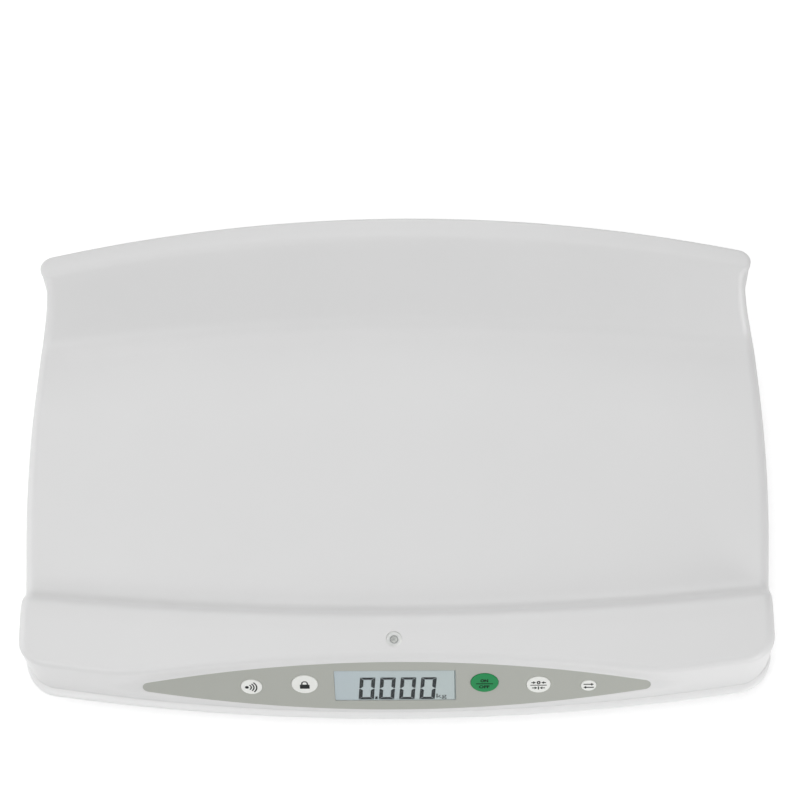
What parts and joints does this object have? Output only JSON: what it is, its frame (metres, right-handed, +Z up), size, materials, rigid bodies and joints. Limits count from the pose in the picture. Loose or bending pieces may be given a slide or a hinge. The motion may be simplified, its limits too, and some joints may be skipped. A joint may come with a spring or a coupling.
{
  "type": "baby weighing scale",
  "caption": "Digital baby weighing scale: a shallow moulded tray with a raised rear wall and a front ridge that holds a display, round keys and a level vial, on screw feet.",
  "frame": {"origin": "on the table, under the centre of the whole object", "axes": "+X to the right along the width as the user faces the controls, +Y from the controls to the rear wall, +Z up"},
  "size_m": [0.5686, 0.366, 0.107],
  "materials": {
    "housing_white": "satin moulded ABS",
    "pan_white": "satin moulded ABS",
    "film_grey": "fine matte polyester film",
    "window_clear": "clear acrylic",
    "display_glass": "reflective liquid crystal cell",
    "frame_plastic": "moulded ABS",
    "strip_rubber": "layered elastomer",
    "board_green": "solder mask over glass fibre",
    "chip_black": "moulded resin",
    "steel": "plated steel",
    "vial_plastic": "moulded acrylic",
    "vial_liquid": "clear tinted spirit",
    "battery_jacket": "printed sleeve",
    "key_white": "satin moulded ABS",
    "key_green": "satin moulded ABS",
    "carrier_plastic": "glass-filled nylon",
    "knob_plastic": "moulded nylon on a steel stud",
    "sole_rubber": "soft rubber",
    "lead_sleeve": "flexible vinyl sleeve"
  },
  "bodies": {
    "housing": {"tray_shell": "housing_white", "base_pan": "pan_white", "control_film": "film_grey", "display_window": "window_clear", "display_glass": "display_glass", "display_frame": "frame_plastic", "display_strips": "strip_rubber", "control_board": "board_green", "board_parts": "chip_black", "key_domes": "steel", "buzzer": "chip_black", "vial_cup": "vial_plastic", "vial_liquid": "vial_liquid", "vial_cap": "window_clear", "battery_box": "frame_plastic", "battery_cells": "battery_jacket", "contact_springs": "steel", "contact_plates": "steel", "case_screws": "steel", "cell_screws": "steel", "board_screws": "steel", "sensor_leads": "lead_sleeve", "battery_leads": "lead_sleeve", "load_cell_front_left": "steel", "cell_carrier_front_left": "carrier_plastic", "cell_nut_front_left": "steel", "load_cell_front_right": "steel", "cell_carrier_front_right": "carrier_plastic", "cell_nut_front_right": "steel", "load_cell_rear_right": "steel", "cell_carrier_rear_right": "carrier_plastic", "cell_nut_rear_right": "steel", "load_cell_rear_left": "steel", "cell_carrier_rear_left": "carrier_plastic", "cell_nut_rear_left": "steel"},
    "key_signal": {"key_signal": "key_white"},
    "key_hold": {"key_hold": "key_white"},
    "key_power": {"key_power": "key_green"},
    "key_zero": {"key_zero": "key_white"},
    "key_unit": {"key_unit": "key_white"},
    "foot_front_left": {"foot_sole_front_left": "sole_rubber"},
    "screw_front_left": {"foot_screw_front_left": "knob_plastic"},
    "foot_front_right": {"foot_sole_front_right": "sole_rubber"},
    "screw_front_right": {"foot_screw_front_right": "knob_plastic"},
    "foot_rear_right": {"foot_sole_rear_right": "sole_rubber"},
    "screw_rear_right": {"foot_screw_rear_right": "knob_plastic"},
    "foot_rear_left": {"foot_sole_rear_left": "sole_rubber"},
    "screw_rear_left": {"foot_screw_rear_left": "knob_plastic"},
    "battery_door": {"battery_door": "pan_white"}
  },
  "joints": [
    {"name": "key_signal_press", "type": "slide", "parent": "housing", "child": "key_signal", "axis": [0, 0.8771, -0.4802], "range_m": [0, 0.0005], "stiffness_N_per_m": 2400},
    {"name": "key_hold_press", "type": "slide", "parent": "housing", "child": "key_hold", "axis": [0, 0.8771, -0.4802], "range_m": [0, 0.0005], "stiffness_N_per_m": 2400},
    {"name": "key_power_press", "type": "slide", "parent": "housing", "child": "key_power", "axis": [0, 0.8771, -0.4802], "range_m": [0, 0.0005], "stiffness_N_per_m": 2400},
    {"name": "key_zero_press", "type": "slide", "parent": "housing", "child": "key_zero", "axis": [0, 0.8771, -0.4802], "range_m": [0, 0.0005], "stiffness_N_per_m": 2400},
    {"name": "key_unit_press", "type": "slide", "parent": "housing", "child": "key_unit", "axis": [0, 0.8771, -0.4802], "range_m": [0, 0.0005], "stiffness_N_per_m": 2400},
    {"name": "lift_front_left", "type": "slide", "parent": "housing", "child": "foot_front_left", "axis": [0, 0, -1], "range_m": [0, 0.005]},
    {"name": "turn_front_left", "type": "hinge", "parent": "foot_front_left", "child": "screw_front_left", "pos_m": [-0.225, -0.118, 0], "axis": [0, 0, -1], "range_deg": [0, 1440]},
    {"name": "lift_front_right", "type": "slide", "parent": "housing", "child": "foot_front_right", "axis": [0, 0, -1], "range_m": [0, 0.005]},
    {"name": "turn_front_right", "type": "hinge", "parent": "foot_front_right", "child": "screw_front_right", "pos_m": [0.225, -0.118, 0], "axis": [0, 0, -1], "range_deg": [0, 1440]},
    {"name": "lift_rear_right", "type": "slide", "parent": "housing", "child": "foot_rear_right", "axis": [0, 0, -1], "range_m": [0, 0.005]},
    {"name": "turn_rear_right", "type": "hinge", "parent": "foot_rear_right", "child": "screw_rear_right", "pos_m": [0.225, 0.092, 0], "axis": [0, 0, -1], "range_deg": [0, 1440]},
    {"name": "lift_rear_left", "type": "slide", "parent": "housing", "child": "foot_rear_left", "axis": [0, 0, -1], "range_m": [0, 0.005]},
    {"name": "turn_rear_left", "type": "hinge", "parent": "foot_rear_left", "child": "screw_rear_left", "pos_m": [-0.225, 0.092, 0], "axis": [0, 0, -1], "range_deg": [0, 1440]},
    {"name": "battery_door_hinge", "type": "hinge", "parent": "housing", "child": "battery_door", "pos_m": [0, -0.0087, 0.0091], "axis": [-1, 0, 0], "range_deg": [0, 80]}
  ],
  "couplings": [
    {"joint": "turn_front_left", "follows": "lift_front_left", "rad_per_m": 5026.5},
    {"joint": "turn_front_right", "follows": "lift_front_right", "rad_per_m": 5026.5},
    {"joint": "turn_rear_right", "follows": "lift_rear_right", "rad_per_m": 5026.5},
    {"joint": "turn_rear_left", "follows": "lift_rear_left", "rad_per_m": 5026.5}
  ]
}
